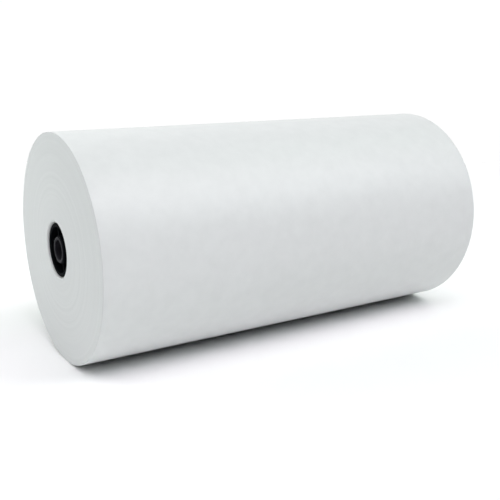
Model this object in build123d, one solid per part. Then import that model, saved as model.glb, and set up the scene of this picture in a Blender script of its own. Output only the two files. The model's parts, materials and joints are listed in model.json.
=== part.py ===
from build123d import *
from math import asin, cos, degrees, radians, sin, sqrt
import os

# A tabletop backdrop paper roll: white paper wound on a board core, with a moulded
# end plug and a turning hub bush at each end.
#
# Frame, millimetres: X runs along the roll, Z is up, the origin is on the floor
# under the middle of the roll. Angles round the roll start at +Y (the back) and
# grow towards +Z (the top).

# ---- driving dimensions -------------------------------------------------------

# wound paper
ROLL_WIDTH = 457.2          # 18 in
ROLL_RADIUS = 114.3         # 9 in across
CONTACT_FLAT = 12.0         # width of the strip that the roll's weight flattens

# free end of the web, on the hidden upper back of the roll
TAIL_ROOT_ANGLE = 75.0      # where the free end bends away from the roll
TAIL_TIP_ANGLE = 42.0       # where the web is cut off
TAIL_THICKNESS = 0.3
TAIL_SINK = 0.1             # the free end's outside lies this far inside the roll's
TAIL_CLEARANCE = 0.3        # between the free end and the turn under it
ROOT_GAP = 0.6              # between the free end's root and the turn that it leaves
RAMP_END_ANGLE = -60.0      # where the turn under the free end is back at full radius

# tape tabs that hold the free end down
TAPE_LENGTH = 50.0
TAPE_WIDTH = 25.0
TAPE_THICKNESS = 0.2
TAPE_OFFSET = 150.0         # middle of each tab from the middle of the roll

# board core
CORE_BORE_RADIUS = 25.4     # 2 in bore
CORE_WALL = 2.5
CORE_RECESS = 1.8           # the core stops this far inside the paper's end faces, so the plugs lie flush

# strip that fastens the first turn to the core
START_TAPE_ANGLE = 110.0
START_TAPE_SPAN = 50.0      # degrees of the core's outside
START_TAPE_THICKNESS = 0.2
START_TAPE_INSET = 6.0      # the strip stops short of the core's ends

# end plug, depths counted inwards from the outer face of its flange
PLUG_FLANGE_RADIUS = 26.6
PLUG_FLANGE_THICKNESS = 1.8
PLUG_FLANGE_ROUND = 0.6
PLUG_SLEEVE_RADIUS = 24.9
PLUG_SLEEVE_WALL = 2.0
PLUG_SLEEVE_LENGTH = 36.0
PLUG_LEAD_IN = 0.8
PLUG_EDGE_ROUND = 0.5       # on the edges that show at the outer face
CRUSH_RIB_COUNT = 12
CRUSH_RIB_WIDTH = 1.4
CRUSH_RIB_CLEARANCE = 0.05  # radial, to the core's bore
CRUSH_RIB_LENGTH = 31.0
WEB_DEPTH = 20.0
WEB_THICKNESS = 2.0
SPOKE_COUNT = 6
SPOKE_THICKNESS = 2.2
SPOKE_DEPTH = 2.5           # the spokes are set back this far
EJECTOR_MARK_RADIUS = 2.0   # shallow round marks that the mould's pins leave on the web
EJECTOR_MARK_DEPTH = 0.25
HUB_RADIUS = 14.2
HUB_DEPTH = 1.6             # the hub is set back this far, so the bush lies flush
LEFT_SPOKE_ANGLE = 14.0
RIGHT_SPOKE_ANGLE = 41.0

# bush that turns in the plug's hub and runs on the crossbar
BUSH_BORE_RADIUS = 10.0
BUSH_BORE_CHAMFER = 0.8
BUSH_SLEEVE_RADIUS = 11.5
BUSH_FLANGE_RADIUS = 12.7
BUSH_FLANGE_THICKNESS = 1.5
BUSH_RADIAL_CLEARANCE = 0.05
BUSH_AXIAL_CLEARANCE = 0.1
SNAP_LIP_RADIUS = 12.1
SNAP_LIP_LENGTH = 1.7
SNAP_SLOT_COUNT = 4
SNAP_SLOT_WIDTH = 1.8
SNAP_SLOT_LENGTH = 8.0

# ---- worked-out dimensions ----------------------------------------------------

AXIS_HEIGHT = sqrt(ROLL_RADIUS**2 - (CONTACT_FLAT / 2) ** 2)
FLAT_HALF_ANGLE = degrees(asin(CONTACT_FLAT / 2 / ROLL_RADIUS))
CORE_RADIUS = CORE_BORE_RADIUS + CORE_WALL
CORE_LENGTH = ROLL_WIDTH - 2 * CORE_RECESS
TAIL_OUTER_RADIUS = ROLL_RADIUS - TAIL_SINK
TAIL_INNER_RADIUS = TAIL_OUTER_RADIUS - TAIL_THICKNESS
LOWERED_RADIUS = TAIL_INNER_RADIUS - TAIL_CLEARANCE
STEP_ANGLE = TAIL_ROOT_ANGLE + degrees(ROOT_GAP / ROLL_RADIUS)
PLUG_FACE_X = CORE_LENGTH / 2 + PLUG_FLANGE_THICKNESS
PLUG_BORE_RADIUS = PLUG_SLEEVE_RADIUS - PLUG_SLEEVE_WALL
HUB_BORE_RADIUS = BUSH_SLEEVE_RADIUS + BUSH_RADIAL_CLEARANCE
HUB_END_DEPTH = WEB_DEPTH + WEB_THICKNESS

ROLL_PLANE = Plane(origin=(0, 0, AXIS_HEIGHT), x_dir=(0, 1, 0), z_dir=(1, 0, 0))


# ---- helpers ------------------------------------------------------------------


def polar(radius, angle):
    """Point on a circle about the roll's axis, in the roll's cross-section."""
    return Vector(radius * cos(radians(angle)), radius * sin(radians(angle)))


def arc(radius, start, end):
    """Arc about the roll's axis from one angle to another."""
    return CenterArc((0, 0), radius, start, end - start)


def sector(inner, outer, start, end):
    """Face between two radii and two angles."""
    return make_face(
        [
            arc(inner, start, end),
            Line(polar(inner, end), polar(outer, end)),
            arc(outer, start, end),
            Line(polar(outer, start), polar(inner, start)),
        ]
    )


def along_roll(face, length, middle=0.0):
    """Extrude a cross-section along the roll, centred on a place on its axis."""
    solid = extrude(face, amount=length / 2, both=True)
    return ROLL_PLANE * Pos(0, 0, middle) * solid


def ring(inner, outer, low, high):
    """Plain ring about Z between two heights."""
    tube = extrude(Circle(outer) - Circle(inner), amount=high - low)
    return Pos(0, 0, low) * tube


# ---- wound paper --------------------------------------------------------------


def winding_outline():
    """Outside of the wound paper, with the lowered turn under the free end."""
    flat_start = 270 - FLAT_HALF_ANGLE
    flat_end = 270 + FLAT_HALF_ANGLE
    ramp_start = 360 + RAMP_END_ANGLE
    ramp_end = 360 + TAIL_TIP_ANGLE
    ramp_middle = polar((ROLL_RADIUS + LOWERED_RADIUS) / 2, (ramp_start + ramp_end) / 2)
    return make_face(
        [
            arc(ROLL_RADIUS, STEP_ANGLE, flat_start),
            Line(polar(ROLL_RADIUS, flat_start), polar(ROLL_RADIUS, flat_end)),
            arc(ROLL_RADIUS, flat_end, ramp_start),
            ThreePointArc(
                polar(ROLL_RADIUS, ramp_start),
                ramp_middle,
                polar(LOWERED_RADIUS, ramp_end),
            ),
            arc(LOWERED_RADIUS, ramp_end, 360 + STEP_ANGLE),
            Line(polar(LOWERED_RADIUS, STEP_ANGLE), polar(ROLL_RADIUS, STEP_ANGLE)),
        ]
    )


def start_tape():
    """Strip under the first turn, along most of the core."""
    half_span = START_TAPE_SPAN / 2
    face = sector(
        CORE_RADIUS,
        CORE_RADIUS + START_TAPE_THICKNESS,
        START_TAPE_ANGLE - half_span,
        START_TAPE_ANGLE + half_span,
    )
    return along_roll(face, CORE_LENGTH - 2 * START_TAPE_INSET)


def paper_winding():
    """All the turns of paper that stay on the roll."""
    bored = winding_outline() - Circle(CORE_RADIUS)
    return along_roll(bored, ROLL_WIDTH) - start_tape()


def paper_tail():
    """Free end of the web, from where it leaves the roll to its cut edge."""
    face = sector(TAIL_INNER_RADIUS, TAIL_OUTER_RADIUS, TAIL_TIP_ANGLE, TAIL_ROOT_ANGLE)
    return along_roll(face, ROLL_WIDTH)


def tail_tape(side):
    """Tape tab, half on the free end and half past its cut edge."""
    half_span = degrees(TAPE_LENGTH / 2 / TAIL_OUTER_RADIUS)
    face = sector(
        TAIL_OUTER_RADIUS,
        TAIL_OUTER_RADIUS + TAPE_THICKNESS,
        TAIL_TIP_ANGLE - half_span,
        TAIL_TIP_ANGLE + half_span,
    )
    return along_roll(face, TAPE_WIDTH, side * TAPE_OFFSET)


# ---- core ---------------------------------------------------------------------


def core_tube():
    """Spiral-wound board tube."""
    return along_roll(Circle(CORE_RADIUS) - Circle(CORE_BORE_RADIUS), CORE_LENGTH)


# ---- end plug -----------------------------------------------------------------


def end_place(side):
    """Frame of a plug: origin on its outer face, Z pointing into the roll."""
    return Plane(
        origin=(side * PLUG_FACE_X, 0, AXIS_HEIGHT),
        x_dir=(0, -side, 0),
        z_dir=(-side, 0, 0),
    )


def plug_flange():
    """Rim that covers the end of the core, rounded on both edges of its face."""
    rim = ring(PLUG_BORE_RADIUS, PLUG_FLANGE_RADIUS, 0, PLUG_FLANGE_THICKNESS)
    outer_edge = rim.edges().group_by(Axis.Z)[0].sort_by(SortBy.RADIUS)[-1]
    rim = fillet(outer_edge, PLUG_FLANGE_ROUND)
    inner_edge = rim.edges().group_by(Axis.Z)[0].sort_by(SortBy.RADIUS)[0]
    return fillet(inner_edge, PLUG_EDGE_ROUND)


def plug_sleeve():
    """Tube that goes into the core, with a lead-in at its inner end."""
    end = PLUG_FLANGE_THICKNESS + PLUG_SLEEVE_LENGTH
    sleeve = ring(PLUG_BORE_RADIUS, PLUG_SLEEVE_RADIUS, PLUG_FLANGE_THICKNESS, end)
    lead_edge = sleeve.edges().group_by(Axis.Z)[-1].sort_by(SortBy.RADIUS)[-1]
    return chamfer(lead_edge, PLUG_LEAD_IN)


def crush_ribs():
    """Ribs along the sleeve that grip the core's bore."""
    outer = CORE_BORE_RADIUS - CRUSH_RIB_CLEARANCE
    inner = PLUG_SLEEVE_RADIUS - PLUG_SLEEVE_WALL / 2
    rib = Box(
        outer - inner,
        CRUSH_RIB_WIDTH,
        CRUSH_RIB_LENGTH,
        align=(Align.MIN, Align.CENTER, Align.MIN),
    )
    tip = rib.edges().filter_by(Axis.Y).group_by(Axis.Z)[-1].sort_by(Axis.X)[-1]
    rib = chamfer(tip, PLUG_SLEEVE_RADIUS - inner, outer - PLUG_SLEEVE_RADIUS)
    placed = Pos(inner, 0, PLUG_FLANGE_THICKNESS) * rib
    return [
        Rot(0, 0, 360 / CRUSH_RIB_COUNT * number) * placed
        for number in range(CRUSH_RIB_COUNT)
    ]


def plug_spokes(first_angle):
    """Ribs between the hub and the sleeve."""
    inner = (HUB_BORE_RADIUS + HUB_RADIUS) / 2
    outer = PLUG_BORE_RADIUS + PLUG_SLEEVE_WALL / 2
    spoke = Box(
        outer - inner,
        SPOKE_THICKNESS,
        WEB_DEPTH - SPOKE_DEPTH,
        align=(Align.MIN, Align.CENTER, Align.MIN),
    )
    front_edges = spoke.edges().filter_by(Axis.X).group_by(Axis.Z)[0]
    placed = Pos(inner, 0, SPOKE_DEPTH) * fillet(front_edges, PLUG_EDGE_ROUND)
    return [
        Rot(0, 0, first_angle + 360 / SPOKE_COUNT * number) * placed
        for number in range(SPOKE_COUNT)
    ]


def plug_hub():
    """Tube in the middle of the plug that the bush turns in."""
    hub = ring(HUB_BORE_RADIUS, HUB_RADIUS, HUB_DEPTH, HUB_END_DEPTH)
    front_edge = hub.edges().group_by(Axis.Z)[0].sort_by(SortBy.RADIUS)[-1]
    return fillet(front_edge, PLUG_EDGE_ROUND)


def ejector_marks(first_angle):
    """Shallow recesses on the web, one in the middle of each pocket."""
    mark = Pos((HUB_RADIUS + PLUG_BORE_RADIUS) / 2, 0, WEB_DEPTH) * Cylinder(
        EJECTOR_MARK_RADIUS,
        2 * EJECTOR_MARK_DEPTH,
    )
    return [
        Rot(0, 0, first_angle + 360 / SPOKE_COUNT * (number + 0.5)) * mark
        for number in range(SPOKE_COUNT)
    ]


def end_plug(side, spoke_angle):
    """Moulded plug in one end of the core."""
    web = ring(
        (HUB_BORE_RADIUS + HUB_RADIUS) / 2,
        PLUG_BORE_RADIUS + PLUG_SLEEVE_WALL / 2,
        WEB_DEPTH,
        HUB_END_DEPTH,
    )
    plug = plug_sleeve() + plug_flange() + web + plug_hub()
    plug += crush_ribs()
    plug += plug_spokes(spoke_angle)
    plug -= ejector_marks(spoke_angle)
    return end_place(side) * plug


# ---- hub bush -----------------------------------------------------------------


def bush_profile():
    """Half section of the bush: flange, sleeve and snap lip."""
    face = HUB_DEPTH - BUSH_AXIAL_CLEARANCE - BUSH_FLANGE_THICKNESS
    flange_back = face + BUSH_FLANGE_THICKNESS
    lip_front = HUB_END_DEPTH + BUSH_AXIAL_CLEARANCE
    end = lip_front + SNAP_LIP_LENGTH
    bevel = BUSH_BORE_CHAMFER
    flange_bevel = BUSH_FLANGE_THICKNESS / 4
    outline = [
        (BUSH_BORE_RADIUS + bevel, face),
        (BUSH_FLANGE_RADIUS - flange_bevel, face),
        (BUSH_FLANGE_RADIUS, face + flange_bevel),
        (BUSH_FLANGE_RADIUS, flange_back),
        (BUSH_SLEEVE_RADIUS, flange_back),
        (BUSH_SLEEVE_RADIUS, lip_front),
        (SNAP_LIP_RADIUS, lip_front),
        (BUSH_SLEEVE_RADIUS - bevel / 2, end),
        (BUSH_BORE_RADIUS + bevel, end),
        (BUSH_BORE_RADIUS, end - bevel),
        (BUSH_BORE_RADIUS, face + bevel),
    ]
    return Plane.XZ * make_face(Polyline(outline, close=True))


def snap_slots():
    """Cuts that let the inner end of the bush spring through the hub."""
    end = HUB_END_DEPTH + BUSH_AXIAL_CLEARANCE + SNAP_LIP_LENGTH
    cut = Pos(0, 0, end) * Box(
        2 * SNAP_LIP_RADIUS,
        SNAP_SLOT_WIDTH,
        2 * SNAP_SLOT_LENGTH,
        align=(Align.MIN, Align.CENTER, Align.CENTER),
    )
    return [
        Rot(0, 0, 360 / SNAP_SLOT_COUNT * (number + 0.5)) * cut
        for number in range(SNAP_SLOT_COUNT)
    ]


def hub_bush(side):
    """Flanged bush that snaps into the plug's hub."""
    bush = revolve(bush_profile(), axis=Axis.Z)
    bush -= snap_slots()
    return end_place(side) * bush


# ---- write the sub-parts ------------------------------------------------------

SUBPARTS = {
    "paper_winding": paper_winding(),
    "paper_tail": paper_tail(),
    "tail_tape_left": tail_tape(-1),
    "tail_tape_right": tail_tape(1),
    "core_tube": core_tube(),
    "core_start_tape": start_tape(),
    "left_plug": end_plug(-1, LEFT_SPOKE_ANGLE),
    "right_plug": end_plug(1, RIGHT_SPOKE_ANGLE),
    "left_hub_bush": hub_bush(-1),
    "right_hub_bush": hub_bush(1),
}

os.makedirs("parts", exist_ok=True)
for name, shape in SUBPARTS.items():
    shape.label = name
    export_step(shape, f"parts/{name}.step")
    box = shape.bounding_box()
    print(name, len(shape.solids()), "solid", round(shape.volume), "mm3", box.min, box.max)
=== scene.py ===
import json
import math

import bpy
import numpy as np
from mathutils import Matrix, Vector


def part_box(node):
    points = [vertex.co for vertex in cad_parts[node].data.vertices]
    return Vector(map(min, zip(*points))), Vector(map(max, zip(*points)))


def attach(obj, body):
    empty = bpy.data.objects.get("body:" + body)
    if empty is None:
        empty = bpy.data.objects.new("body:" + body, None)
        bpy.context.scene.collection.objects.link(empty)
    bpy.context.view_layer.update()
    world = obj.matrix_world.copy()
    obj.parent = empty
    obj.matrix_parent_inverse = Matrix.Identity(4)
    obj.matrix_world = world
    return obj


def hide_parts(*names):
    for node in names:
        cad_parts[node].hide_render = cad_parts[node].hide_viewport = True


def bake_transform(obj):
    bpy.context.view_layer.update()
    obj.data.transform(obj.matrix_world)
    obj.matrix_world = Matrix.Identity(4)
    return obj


# The looks of a tabletop backdrop paper roll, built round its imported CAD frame.
# Metres. X runs along the roll, Z is up, and angles round the roll start at +Y
# (the back) and grow towards +Z (the top).

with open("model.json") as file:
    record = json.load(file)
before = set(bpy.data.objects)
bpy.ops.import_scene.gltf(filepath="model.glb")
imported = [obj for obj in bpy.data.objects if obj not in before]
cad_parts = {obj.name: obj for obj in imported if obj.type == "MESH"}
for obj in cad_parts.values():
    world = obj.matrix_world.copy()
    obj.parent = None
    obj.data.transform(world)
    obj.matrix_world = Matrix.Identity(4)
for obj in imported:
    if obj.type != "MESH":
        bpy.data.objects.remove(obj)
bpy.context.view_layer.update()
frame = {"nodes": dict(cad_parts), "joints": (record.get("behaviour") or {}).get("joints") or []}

MM = 0.001


# ---- places and sizes from the frame ------------------------------------------


def middle(node):
    """Middle of a CAD node's box."""
    low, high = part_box(node)
    return (low + high) / 2


def joint(name):
    """The record's entry for a joint."""
    return next(j for j in frame["joints"] if j["name"] == name)


def angle_of(y, z):
    """Angle round the roll of a point in its cross-section, in degrees."""
    return math.degrees(math.atan2(z - AXIS_Z, y))


AXIS_Z = middle("left_hub_bush").z
HALF_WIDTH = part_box("paper_winding")[1].x
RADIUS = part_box("paper_winding")[1].z - AXIS_Z
CORE_HALF_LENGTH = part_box("core_tube")[1].x
CORE_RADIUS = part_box("core_tube")[1].z - AXIS_Z
HINGE = Vector(joint("tail_lift")["pos_m"])
HINGE_ANGLE = angle_of(HINGE.y, HINGE.z)
TAIL_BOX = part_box("paper_tail")
TIP_ANGLE = math.degrees(math.acos(TAIL_BOX[1].y / (HINGE - Vector((0, 0, AXIS_Z))).length))
TAPE_END_ANGLE = math.degrees(math.acos(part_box("tail_tape_left")[1].y / RADIUS))

# ---- the paper's own sizes ----------------------------------------------------

# Winding
SEAM_ANGLE = HINGE_ANGLE + 4  # where the free end's own piece begins
SEAM_STEP = 0.06              # degrees over which the wound surface drops there
RAMP_END_ANGLE = -60          # where the turn under the free end is back at full radius
EDGE_ROUND = 0.5 * MM         # radius between the side and the end faces
EDGE_INSET = 0.3 * MM         # how far the edges of the turns lie inside the end plane
TELESCOPE = 2.0 * MM          # the inner turns stand out at the left end, and in at the right
LIP_DEPTH = 1.0 * MM          # the innermost turns lie back towards the core's end
LIP_WIDTH = 1.3 * MM

# Free end
SHEET_THICKNESS = 0.15 * MM
SHEET_BED = 0.2 * MM          # how far the turn under the free end lies below the surface
SHEET_INSET = 0.35 * MM       # how far the free end stops short of the end planes
EDGE_LIFT = 0.7 * MM          # most that the cut edge stands off the roll
LIFT_START_ANGLE = HINGE_ANGLE - 8  # above this it lies flat
TAPE_HOLD = 0.028             # distance from a tape's middle at which its hold is a third

# Tape
TAPE_THICKNESS = 0.1 * MM
TAPE_GAP = 0.02 * MM          # between the tape and the paper under it
TAPE_TEETH = 16               # across its width
TOOTH_ANGLE = 0.45            # degrees that the teeth stand out
TAPE_DROP_ANGLE = TIP_ANGLE - 0.5  # where the tape is halfway down past the cut edge
TAPE_DROP_WIDTH = 0.22        # degrees; how softly it steps down there

# Core
CORE_WALL = 2.5 * MM
CORE_GAP = 0.04 * MM          # between the core and the first turn
CORE_PITCH = 0.105            # length along the core of one turn of its board strips
CORE_SEAM_DEPTH = 0.14 * MM
CORE_PLIES = 11

SHARP_DEGREES = 40            # edges sharper than this stay sharp on the meshes made here
PLASTIC_SHARP_DEGREES = 35    # and on the plugs and bushes
END_FACING = 0.7              # a face whose normal has more X than this belongs to an end


# ---- meshes from grids of points ----------------------------------------------


def mesh_object(name, points, faces):
    """Mesh object from points and faces, shaded smooth except over its sharp edges."""
    data = bpy.data.meshes.new(name)
    data.from_pydata(points.reshape(-1, 3).tolist(), [], faces)
    data.update()
    data.shade_smooth()
    data.set_sharp_from_angle(angle=math.radians(SHARP_DEGREES))
    piece = bpy.data.objects.new(name, data)
    bpy.context.scene.collection.objects.link(piece)
    return piece


def on_roll(x, radius, angle):
    """Points at distances along the roll, radii and angles in degrees."""
    x, radius, angle = np.broadcast_arrays(x, radius, np.radians(angle))
    return np.stack([x, radius * np.cos(angle), AXIS_Z + radius * np.sin(angle)], axis=-1)


def loop_of_rings(name, rings):
    """Closed mesh through a closed loop of closed rings, an array of rings by points."""
    stations, around = rings.shape[:2]
    faces = []
    for i in range(stations):
        following = (i + 1) % stations
        for j in range(around):
            beside = (j + 1) % around
            faces.append(
                (
                    i * around + j,
                    following * around + j,
                    following * around + beside,
                    i * around + beside,
                )
            )
    return mesh_object(name, rings, faces)


def slab(name, top, bottom):
    """Closed thin sheet between two grids of points of the same shape."""
    rows, columns = top.shape[:2]
    under = rows * columns
    faces = []
    for i in range(rows - 1):
        for j in range(columns - 1):
            corner = i * columns + j
            quad = (corner, corner + 1, corner + columns + 1, corner + columns)
            faces.append(quad)
            faces.append(tuple(under + k for k in reversed(quad)))
    rim = list(range(columns))
    rim += [i * columns + columns - 1 for i in range(1, rows)]
    rim += [(rows - 1) * columns + j for j in range(columns - 2, -1, -1)]
    rim += [i * columns for i in range(rows - 2, 0, -1)]
    for a, b in zip(rim, rim[1:] + rim[:1]):
        faces.append((b, a, under + a, under + b))
    return mesh_object(name, np.concatenate([top, bottom]), faces)


def smooth_series(seed, count, spread):
    """Random values, smoothed over a number of neighbours, from about -1 to 1."""
    rng = np.random.default_rng(seed)
    reach = 3 * spread
    raw = rng.normal(size=count + 2 * reach)
    kernel = np.exp(-0.5 * (np.arange(-reach, reach + 1) / spread) ** 2)
    smooth = np.convolve(raw, kernel, mode="valid")
    return smooth / max(np.abs(smooth).max(), 1e-9)


def waves(x, angle, seed, count, lengths, turns):
    """Sum of slow waves along x and round the roll, from about -1 to 1.

    Each wave's length and how often it repeats round the roll lie in the ranges given.
    """
    rng = np.random.default_rng(seed)
    total = np.zeros(np.broadcast(x, angle).shape)
    for _ in range(count):
        length = rng.uniform(*lengths)
        around = rng.integers(*turns)
        phase = rng.uniform(0, 2 * math.pi)
        total += np.cos(2 * math.pi * x / length + around * np.radians(angle) + phase)
    return total / count


# ---- wound paper --------------------------------------------------------------


def bed_depth(angle):
    """How far the wound surface lies below full radius.

    It does so under the free end, and on the slope past its cut edge.
    """
    signed = (np.asarray(angle) + 180) % 360 - 180
    slope = np.clip((signed - RAMP_END_ANGLE) / (TIP_ANGLE - RAMP_END_ANGLE), 0, 1)
    return np.where(signed <= SEAM_ANGLE, SHEET_BED * slope, 0)


def side_relief(x, angle):
    """Unevenness of the wound surface: thick and thin bands of the web, and a faint wobble."""
    bands = waves(x, 0 * angle, seed=3, count=7, lengths=(0.05, 0.21), turns=(0, 1))
    wobble = waves(x, angle, seed=4, count=9, lengths=(0.10, 0.40), turns=(1, 6))
    return 0.16 * MM * bands + 0.14 * MM * wobble


def end_depth(side, radius, angle, level):
    """How far the edges of the turns at a radius lie inside the end plane.

    The level, from about -1 to 1, says how far those turns lie in or out of line.
    """
    share = (radius - CORE_RADIUS) / (RADIUS - CORE_RADIUS)
    shift = side * TELESCOPE * (1 - share) ** 1.5
    lip = LIP_DEPTH * max(0, 1 - (radius - CORE_RADIUS) / LIP_WIDTH) ** 2
    wobble = waves(radius, angle, seed=9, count=6, lengths=(0.02, 0.07), turns=(1, 5))
    return EDGE_INSET + shift + lip + 0.17 * MM * level + 0.06 * MM * wobble


def round_angles():
    """Angles of the winding's points, with two close together at the seam."""
    columns = 270
    even = np.arange(0, 360, 360 / columns)
    return np.sort(np.append(even, [SEAM_ANGLE, SEAM_ANGLE + SEAM_STEP]))


def end_rings(side, angle, seed):
    """Rings of one end face, from the core out, and its rounded rim."""
    lip_radii = np.linspace(CORE_RADIUS, CORE_RADIUS + LIP_WIDTH, 8)[:-1]
    face_radii = np.linspace(CORE_RADIUS + LIP_WIDTH, RADIUS - EDGE_ROUND, 90)
    radii = np.concatenate([lip_radii, face_radii])
    count = len(radii)
    levels = smooth_series(seed, count, 2) * 0.6 + smooth_series(seed + 1, count, 1) * 0.4
    rings = []
    for radius, level in zip(radii, levels):
        depth = end_depth(side, radius, angle, level)
        lowered = bed_depth(angle) * (radius - CORE_RADIUS) / (RADIUS - CORE_RADIUS)
        rings.append(on_roll(side * (HALF_WIDTH - depth), radius - lowered, angle))
    for turn in (30, 60):
        inset = EDGE_ROUND * (1 - math.sin(math.radians(turn)))
        back = EDGE_ROUND * (1 - math.cos(math.radians(turn)))
        x = side * (HALF_WIDTH - EDGE_INSET - back)
        radius = RADIUS - inset + side_relief(x, angle) - bed_depth(angle)
        rings.append(on_roll(x, radius, angle))
    return rings


def paper_roll():
    """All the turns of paper that stay on the roll."""
    angle = round_angles()
    bore_reach = HALF_WIDTH - TELESCOPE - LIP_DEPTH - 1 * MM
    bore_x = np.linspace(-bore_reach, bore_reach, 12)
    side_reach = HALF_WIDTH - EDGE_INSET - EDGE_ROUND
    side_x = np.linspace(side_reach, -side_reach, 122)
    rings = [on_roll(x, CORE_RADIUS, angle) for x in bore_x]
    rings += end_rings(1, angle, seed=21)
    for x in side_x:
        rings.append(on_roll(x, RADIUS + side_relief(x, angle) - bed_depth(angle), angle))
    rings += end_rings(-1, angle, seed=31)[::-1]
    points = np.array(rings)
    points[..., 2] = np.maximum(points[..., 2], 0)
    return loop_of_rings("paper_roll", points)


# ---- free end and its tape ----------------------------------------------------


def free_edge_lift(x, angle):
    """How far the free end stands off the roll: most between the tapes, not at its corners."""
    share = np.clip((LIFT_START_ANGLE - angle) / (LIFT_START_ANGLE - TIP_ANGLE), 0, 1)
    held = np.zeros_like(x)
    for node in ("tail_tape_left", "tail_tape_right"):
        held = np.maximum(held, np.exp(-(((x - middle(node).x) / TAPE_HOLD) ** 2)))
    corner = np.abs(x / HALF_WIDTH) ** 12
    return (1 - held) * share**3 * EDGE_LIFT * (1 - corner)


def free_end():
    """Cut end of the web, from just above where it bends to its cut edge."""
    rows, columns = 56, 150
    reach = HALF_WIDTH - SHEET_INSET
    angle, x = np.meshgrid(
        np.linspace(SEAM_ANGLE + SEAM_STEP, TIP_ANGLE, rows),
        np.linspace(-reach, reach, columns),
        indexing="ij",
    )
    top = RADIUS + side_relief(x, angle) + free_edge_lift(x, angle)
    return slab(
        "free_end",
        on_roll(x, top, angle),
        on_roll(x, top - SHEET_THICKNESS, angle),
    )


def tape(name, node):
    """Tape tab across the cut edge, with the teeth of its dispenser on both ends."""
    low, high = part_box(node)
    start = math.degrees(math.asin((high.z - AXIS_Z) / RADIUS))
    end = math.degrees(math.acos(high.y / RADIUS))
    rows, columns = 64, 2 * TAPE_TEETH + 1
    tooth = np.where(np.arange(columns) % 2, TOOTH_ANGLE, 0.0)
    share = np.linspace(0, 1, rows)[:, None]
    angle = (start - tooth) * (1 - share) + (end + tooth) * share
    x = np.broadcast_to(np.linspace(low.x, high.x, columns), angle.shape)
    over = 1 / (1 + np.exp(-(angle - TAPE_DROP_ANGLE) / TAPE_DROP_WIDTH))
    on_paper = RADIUS + side_relief(x, angle) + free_edge_lift(x, angle)
    on_bed = RADIUS + side_relief(x, angle) - bed_depth(angle)
    under = on_paper * over + on_bed * (1 - over) + TAPE_GAP
    return slab(
        name,
        on_roll(x, under + TAPE_THICKNESS, angle),
        on_roll(x, under, angle),
    )


# ---- core ---------------------------------------------------------------------


def board_core():
    """Spiral-wound board tube.

    A butt seam runs round it inside and out, and its plies show at the ends.
    """
    # The points beside the seam, at angle 0, are closer together than the rest.
    around = np.sort(np.append(np.arange(0, 360, 3.75), [0.5, 1.0, 358.5, 359.2]))
    seam = np.where(around == 0, CORE_SEAM_DEPTH, 0)
    inner_radius = CORE_RADIUS - CORE_WALL
    outer_radius = CORE_RADIUS - CORE_GAP
    ply_radius = np.linspace(inner_radius, outer_radius, CORE_PLIES + 2)[1:-1]
    ply_depth = np.where(np.arange(CORE_PLIES) % 2, 0.02, 0.12) * MM

    def wall_rings(places, radius):
        return [on_roll(x, radius, around + 360 * x / CORE_PITCH) for x in places]

    def ply_rings(side):
        turned = around + side * 360 * CORE_HALF_LENGTH / CORE_PITCH
        return [
            on_roll(side * (CORE_HALF_LENGTH - depth), radius, turned)
            for radius, depth in zip(ply_radius, ply_depth)
        ]

    places = np.linspace(-CORE_HALF_LENGTH, CORE_HALF_LENGTH, 170)
    rings = wall_rings(places, inner_radius + seam)
    rings += ply_rings(1)
    rings += wall_rings(places[::-1], outer_radius - seam)
    rings += ply_rings(-1)[::-1]
    return loop_of_rings("board_core", np.array(rings))


# ---- materials ----------------------------------------------------------------


def link(nodes, source, target):
    """Link an output to an input."""
    nodes.id_data.links.new(source, target)


def feed(nodes, values, sockets):
    """Set or link inputs in turn; each value is a number or an output."""
    for value, socket in zip(values, sockets):
        if isinstance(value, (int, float)):
            socket.default_value = value
        else:
            link(nodes, value, socket)


def new_material(name, base, roughness, specular):
    """Material with one Principled shader. Returns it, its nodes and the shader."""
    material = bpy.data.materials.new(name)
    material.use_nodes = True
    nodes = material.node_tree.nodes
    shader = nodes["Principled BSDF"]
    shader.inputs["Base Color"].default_value = (*base, 1)
    shader.inputs["Roughness"].default_value = roughness
    shader.inputs["Specular IOR Level"].default_value = specular
    return material, nodes, shader


def noise_node(nodes, vector, scale, detail, roughness=0.55):
    """Noise texture on a vector, with its factor output."""
    texture = nodes.new("ShaderNodeTexNoise")
    texture.inputs["Scale"].default_value = scale
    texture.inputs["Detail"].default_value = detail
    texture.inputs["Roughness"].default_value = roughness
    link(nodes, vector, texture.inputs["Vector"])
    return texture.outputs["Fac"]


def mapped(nodes, value, low, high):
    """Value from 0.25..0.75, where noise lies, mapped to low..high."""
    node = nodes.new("ShaderNodeMapRange")
    node.inputs["From Min"].default_value = 0.25
    node.inputs["From Max"].default_value = 0.75
    node.inputs["To Min"].default_value = low
    node.inputs["To Max"].default_value = high
    link(nodes, value, node.inputs["Value"])
    return node.outputs["Result"]


def colour_between(nodes, value, dark, light):
    """Colour from dark to light as a noise value goes up."""
    mix = nodes.new("ShaderNodeMix")
    mix.data_type = "RGBA"
    mix.inputs["A"].default_value = (*dark, 1)
    mix.inputs["B"].default_value = (*light, 1)
    link(nodes, mapped(nodes, value, 0, 1), mix.inputs["Factor"])
    return mix.outputs["Result"]


def bump(nodes, height, distance, strength, normal=None):
    """Bump node, on top of another one's normal if that is given."""
    node = nodes.new("ShaderNodeBump")
    node.inputs["Distance"].default_value = distance
    node.inputs["Strength"].default_value = strength
    link(nodes, height, node.inputs["Height"])
    if normal is not None:
        link(nodes, normal, node.inputs["Normal"])
    return node.outputs["Normal"]


def math_node(nodes, operation, *values):
    """Math node; each value is a number or an output."""
    node = nodes.new("ShaderNodeMath")
    node.operation = operation
    feed(nodes, values, node.inputs)
    return node.outputs[0]


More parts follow.
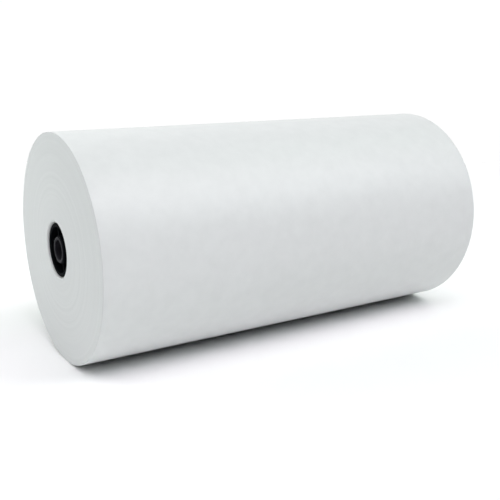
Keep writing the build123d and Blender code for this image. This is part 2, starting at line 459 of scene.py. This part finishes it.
def combine(nodes, x, y, z=0.0):
    """Vector from three numbers or outputs."""
    node = nodes.new("ShaderNodeCombineXYZ")
    feed(nodes, (x, y, z), node.inputs)
    return node.outputs[0]


def scaled(nodes, value, factor):
    """An output times a number."""
    return math_node(nodes, "MULTIPLY", value, factor)


def roll_coordinates(nodes):
    """Place in the row frame, and that place's X, radius and angle in radians."""
    place = nodes.new("ShaderNodeTexCoord").outputs["Object"]
    split = nodes.new("ShaderNodeSeparateXYZ")
    link(nodes, place, split.inputs[0])
    x, y, z = split.outputs
    height = math_node(nodes, "SUBTRACT", z, AXIS_Z)
    squares = math_node(nodes, "MULTIPLY", y, y)
    squares = math_node(nodes, "MULTIPLY_ADD", height, height, squares)
    radius = math_node(nodes, "SQRT", squares)
    angle = math_node(nodes, "ARCTAN2", height, y)
    return place, x, radius, angle


PAPER_DARK = (0.692, 0.708, 0.704)
PAPER_LIGHT = (0.730, 0.746, 0.742)
EDGES_DARK = (0.640, 0.657, 0.653)
TAPE_DARK = (0.60, 0.575, 0.49)
TAPE_LIGHT = (0.69, 0.67, 0.59)
BOARD_DARK = (0.50, 0.48, 0.44)
BOARD_LIGHT = (0.66, 0.645, 0.61)
DUST = (0.30, 0.30, 0.30)


def paper_side_material():
    """Smooth white paper.

    It has cloudy formation, calender streaks round the roll, and fibres in the bump.
    """
    base = PAPER_LIGHT
    material, nodes, shader = new_material("white_paper", base, roughness=0.45, specular=0.55)
    place, x, _, angle = roll_coordinates(nodes)
    clouds = noise_node(nodes, place, scale=70, detail=5)
    link(nodes, colour_between(nodes, clouds, PAPER_DARK, PAPER_LIGHT), shader.inputs["Base Color"])
    streaks_at = combine(nodes, scaled(nodes, x, 90), scaled(nodes, angle, 0.5))
    streaks = noise_node(nodes, streaks_at, scale=1, detail=4)
    link(nodes, mapped(nodes, streaks, 0.41, 0.50), shader.inputs["Roughness"])
    fibres = noise_node(nodes, place, scale=1500, detail=4, roughness=0.6)
    normal = bump(nodes, streaks, distance=0.00004, strength=0.5)
    normal = bump(nodes, fibres, distance=0.00003, strength=0.6, normal=normal)
    link(nodes, normal, shader.inputs["Normal"])
    return material


def paper_end_material():
    """Cut edges of the turns, seen end on: fine rings, some darker."""
    material, nodes, shader = new_material("paper_edges", PAPER_DARK, roughness=0.8, specular=0.25)
    place, _, radius, angle = roll_coordinates(nodes)
    drift = scaled(nodes, angle, 0.02)
    fine_at = combine(nodes, scaled(nodes, radius, 2600), drift)
    fine = noise_node(nodes, fine_at, scale=1, detail=3, roughness=0.7)
    broad_at = combine(nodes, scaled(nodes, radius, 260), drift, 4.0)
    broad = noise_node(nodes, broad_at, scale=1, detail=3)
    both = math_node(nodes, "MULTIPLY_ADD", fine, 0.45, scaled(nodes, broad, 0.55))
    link(nodes, colour_between(nodes, both, EDGES_DARK, PAPER_LIGHT), shader.inputs["Base Color"])
    grain = noise_node(nodes, place, scale=1800, detail=3)
    normal = bump(nodes, fine, distance=0.00012, strength=0.6)
    normal = bump(nodes, grain, distance=0.00005, strength=0.5, normal=normal)
    link(nodes, normal, shader.inputs["Normal"])
    return material


def tape_material():
    """Crepe paper tape, off-white, with fine wrinkles across it."""
    base = (0.66, 0.64, 0.56)
    material, nodes, shader = new_material("paper_tape", base, roughness=0.42, specular=0.5)
    _, x, _, angle = roll_coordinates(nodes)
    crepe_at = combine(nodes, scaled(nodes, x, 220), scaled(nodes, angle, 140))
    crepe = noise_node(nodes, crepe_at, scale=1, detail=4)
    link(nodes, colour_between(nodes, crepe, TAPE_DARK, TAPE_LIGHT), shader.inputs["Base Color"])
    link(nodes, bump(nodes, crepe, distance=0.0001, strength=0.6), shader.inputs["Normal"])
    return material


def board_material():
    """Pale core board with long fibres."""
    base = (0.55, 0.53, 0.49)
    material, nodes, shader = new_material("core_board", base, roughness=0.85, specular=0.2)
    _, x, _, angle = roll_coordinates(nodes)
    fibres_at = combine(nodes, scaled(nodes, x, 260), scaled(nodes, angle, 40))
    fibres = noise_node(nodes, fibres_at, scale=1, detail=5, roughness=0.65)
    link(nodes, colour_between(nodes, fibres, BOARD_DARK, BOARD_LIGHT), shader.inputs["Base Color"])
    link(nodes, bump(nodes, fibres, distance=0.0002, strength=0.5), shader.inputs["Normal"])
    return material


def plastic_material(name, dark, light, roughness, specular, dust):
    """Moulded plastic: spark-eroded grain, slight sheen changes and a little paper dust."""
    material, nodes, shader = new_material(name, dark, roughness, specular)
    place = nodes.new("ShaderNodeTexCoord").outputs["Object"]
    patches = noise_node(nodes, place, scale=160, detail=5)
    specks = noise_node(nodes, place, scale=2400, detail=2)
    dusty = nodes.new("ShaderNodeMapRange")
    dusty.inputs["From Min"].default_value = 0.60
    dusty.inputs["From Max"].default_value = 0.80
    dusty.inputs["To Max"].default_value = dust
    link(nodes, specks, dusty.inputs["Value"])
    mix = nodes.new("ShaderNodeMix")
    mix.data_type = "RGBA"
    mix.inputs["B"].default_value = (*DUST, 1)
    link(nodes, colour_between(nodes, patches, dark, light), mix.inputs["A"])
    link(nodes, dusty.outputs["Result"], mix.inputs["Factor"])
    link(nodes, mix.outputs["Result"], shader.inputs["Base Color"])
    sheen = mapped(nodes, patches, roughness - 0.05, roughness + 0.08)
    link(nodes, sheen, shader.inputs["Roughness"])
    grain = noise_node(nodes, place, scale=5200, detail=2)
    link(nodes, bump(nodes, grain, distance=0.00003, strength=0.5), shader.inputs["Normal"])
    return material


def paint(piece, *materials):
    """Give a piece its materials."""
    piece.data.materials.clear()
    for material in materials:
        piece.data.materials.append(material)


def paint_ends(piece):
    """Second material on the faces that look along the roll."""
    for face in piece.data.polygons:
        if abs(face.normal.x) > END_FACING:
            face.material_index = 1


def smooth_by_angle(node, degrees):
    """Shade a CAD node smooth, except over its sharp edges."""
    piece = frame["nodes"][node]
    piece.data.shade_smooth()
    split = piece.modifiers.new("sharp_edges", "EDGE_SPLIT")
    split.split_angle = math.radians(degrees)


def bend_at_hinge(piece):
    """Bake a piece's place into its mesh; it does not make the piece curl up as the free end lifts.
    """
    Vector(on_roll(0, RADIUS, TAPE_END_ANGLE))
    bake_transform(piece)


# ---- the object ---------------------------------------------------------------

white_paper = paper_side_material()
paper_edges = paper_end_material()
paper_tape = tape_material()
board = board_material()
plug_plastic = plastic_material(
    "plug_plastic",
    dark=(0.0024, 0.0029, 0.0036),
    light=(0.0045, 0.0054, 0.0068),
    roughness=0.62,
    specular=0.015,
    dust=0.02,
)
bush_plastic = plastic_material(
    "bush_plastic",
    dark=(0.015, 0.015, 0.019),
    light=(0.023, 0.022, 0.027),
    roughness=0.50,
    specular=0.09,
    dust=0.02,
)

roll = paper_roll()
paint(roll, white_paper, paper_edges)
paint_ends(roll)
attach(roll, "roll")
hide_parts("paper_winding")

core = board_core()
paint(core, board)
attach(core, "roll")
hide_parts("core_tube")

for name, node in (("tape_left", "tail_tape_left"), ("tape_right", "tail_tape_right")):
    tab = tape(name, node)
    paint(tab, paper_tape)
    bend_at_hinge(tab)
    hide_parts(node)

sheet = free_end()
paint(sheet, white_paper)
bend_at_hinge(sheet)
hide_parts("paper_tail")

for node in ("left_plug", "right_plug"):
    paint(frame["nodes"][node], plug_plastic)
    smooth_by_angle(node, PLASTIC_SHARP_DEGREES)
for node in ("left_hub_bush", "right_hub_bush"):
    paint(frame["nodes"][node], bush_plastic)
    smooth_by_angle(node, PLASTIC_SHARP_DEGREES)
paint(frame["nodes"]["core_start_tape"], paper_tape)

# ---- camera, floor and light --------------------------------------------------

CAMERA_LENS = 55.63           # millimetres, on a 36 mm sensor
CAMERA_PLACE = (-4.0457, -6.2814, 2.5941)  # in roll radii from the origin
CAMERA_YAW = 0.5653           # radians from +Y towards +X
CAMERA_PITCH = -0.2442        # radians up from level
FLOOR_REACH = 2.1
FLOOR_COLOUR = (0.93, 0.93, 0.93)
FLOOR_FADE = (0.7, 2.0)       # distances from the origin where it starts to fade and is gone
BACKDROP = 0.92               # strength of the white behind the roll, as a light
SEEN_WHITE = 1.02             # strength of the surroundings as the camera sees them


def direction(azimuth, elevation):
    """Unit vector; azimuth counts from +Y towards +X, both angles are in radians."""
    return Vector(
        (
            math.sin(azimuth) * math.cos(elevation),
            math.cos(azimuth) * math.cos(elevation),
            math.sin(elevation),
        )
    )


def camera():
    """Camera from the left, a little above the roll."""
    data = bpy.data.cameras.new("camera")
    data.sensor_width = 36
    data.lens = CAMERA_LENS
    piece = bpy.data.objects.new("camera", data)
    bpy.context.scene.collection.objects.link(piece)
    piece.location = [part * RADIUS for part in CAMERA_PLACE]
    look = direction(CAMERA_YAW, CAMERA_PITCH)
    piece.rotation_euler = look.to_track_quat("-Z", "Y").to_euler()
    bpy.context.scene.camera = piece


def floor():
    """Pale floor that fades into the white surroundings."""
    signs = np.array([(-1, -1, 0), (1, -1, 0), (1, 1, 0), (-1, 1, 0)], float)
    piece = mesh_object("floor", FLOOR_REACH * signs, [(0, 1, 2, 3)])
    material, nodes, shader = new_material("pale_floor", FLOOR_COLOUR, roughness=0.9, specular=0.1)
    place = nodes.new("ShaderNodeTexCoord").outputs["Object"]
    distance = nodes.new("ShaderNodeVectorMath")
    distance.operation = "LENGTH"
    link(nodes, place, distance.inputs[0])
    fade = nodes.new("ShaderNodeMapRange")
    fade.interpolation_type = "SMOOTHSTEP"
    fade.inputs["From Min"].default_value = FLOOR_FADE[0]
    fade.inputs["From Max"].default_value = FLOOR_FADE[1]
    fade.inputs["To Min"].default_value = 1
    fade.inputs["To Max"].default_value = 0
    link(nodes, distance.outputs["Value"], fade.inputs["Value"])
    link(nodes, fade.outputs["Result"], shader.inputs["Alpha"])
    paint(piece, material)


def soft_light(name, elevation, azimuth, colour):
    """Large far light; its colour holds its strength.

    Both angles are in degrees. Azimuth counts from the front (-Y) towards the left.
    """
    data = bpy.data.lights.new(name, "SUN")
    data.angle = math.radians(30)
    strength = max(colour)
    data.energy = math.pi * strength
    data.color = [part / strength for part in colour]
    piece = bpy.data.objects.new(name, data)
    bpy.context.scene.collection.objects.link(piece)
    towards = direction(math.radians(azimuth + 180), math.radians(elevation))
    piece.rotation_euler = towards.to_track_quat("Z", "Y").to_euler()


def end_light():
    """Small soft light above and behind the left end, which falls off across its face."""
    data = bpy.data.lights.new("end_light", "AREA")
    data.size = 0.4
    data.energy = 1.33
    data.color = (0.93, 1.0, 0.98)
    piece = bpy.data.objects.new("end_light", data)
    bpy.context.scene.collection.objects.link(piece)
    piece.location = (-0.75, 0.25, 0.46)
    aim = Vector((-HALF_WIDTH, 0, AXIS_Z))
    piece.rotation_euler = (aim - piece.location).to_track_quat("-Z", "Y").to_euler()


def surroundings():
    """White surroundings, of which only the backdrop behind the roll lights the scene."""
    world = bpy.data.worlds.new("studio")
    world.use_nodes = True
    nodes = world.node_tree.nodes
    background = nodes["Background"]
    background.inputs["Color"].default_value = (1, 1, 1, 1)
    split = nodes.new("ShaderNodeSeparateXYZ")
    link(nodes, nodes.new("ShaderNodeTexCoord").outputs["Generated"], split.inputs[0])
    behind = nodes.new("ShaderNodeMapRange")
    behind.interpolation_type = "SMOOTHSTEP"
    behind.inputs["From Min"].default_value = 0.1
    behind.inputs["From Max"].default_value = 0.7
    behind.inputs["To Max"].default_value = BACKDROP
    link(nodes, split.outputs["Y"], behind.inputs["Value"])
    seen = nodes.new("ShaderNodeMix")
    link(nodes, nodes.new("ShaderNodeLightPath").outputs["Is Camera Ray"], seen.inputs["Factor"])
    link(nodes, behind.outputs["Result"], seen.inputs["A"])
    seen.inputs["B"].default_value = SEEN_WHITE
    link(nodes, seen.outputs["Result"], background.inputs["Strength"])
    bpy.context.scene.world = world


camera()
floor()
surroundings()
soft_light("top_left", elevation=72, azimuth=45, colour=(0.195, 0.214, 0.202))
soft_light("front", elevation=55, azimuth=0, colour=(0.256, 0.233, 0.260))
soft_light("front_left", elevation=55, azimuth=45, colour=(0.112, 0.095, 0.110))
soft_light("front_right", elevation=55, azimuth=-45, colour=(0.174, 0.164, 0.164))
soft_light("right", elevation=55, azimuth=-90, colour=(0.090, 0.117, 0.098))
soft_light("low_right", elevation=38, azimuth=-45, colour=(0.269, 0.296, 0.293))
end_light()
bpy.context.scene.view_settings.view_transform = "Standard"
